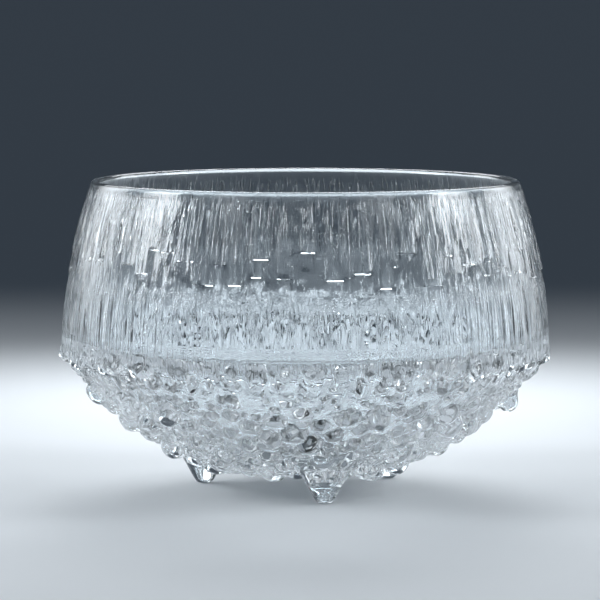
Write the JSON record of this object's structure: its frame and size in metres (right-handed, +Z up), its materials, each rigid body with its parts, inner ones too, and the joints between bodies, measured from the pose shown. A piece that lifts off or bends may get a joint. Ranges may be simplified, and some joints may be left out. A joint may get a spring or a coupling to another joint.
{
  "type": "glass bowl",
  "caption": "Round footed serving bowl cast in clear glass, with a reeded wall, a knobbed underside and three cone feet.",
  "frame": {"origin": "centre of the circle that the three foot tips stand on, in the plane of the tips", "axes": "+Z up along the bowl's axis, +X to the right and -Y towards the viewer in the reference view"},
  "size_m": [0.196, 0.1961, 0.125],
  "materials": {
    "clear_glass": "fire polished, smooth and glossy, clear with a faint grey-blue cast"
  },
  "bodies": {
    "root": {"bowl": "clear_glass"}
  },
  "joints": []
}
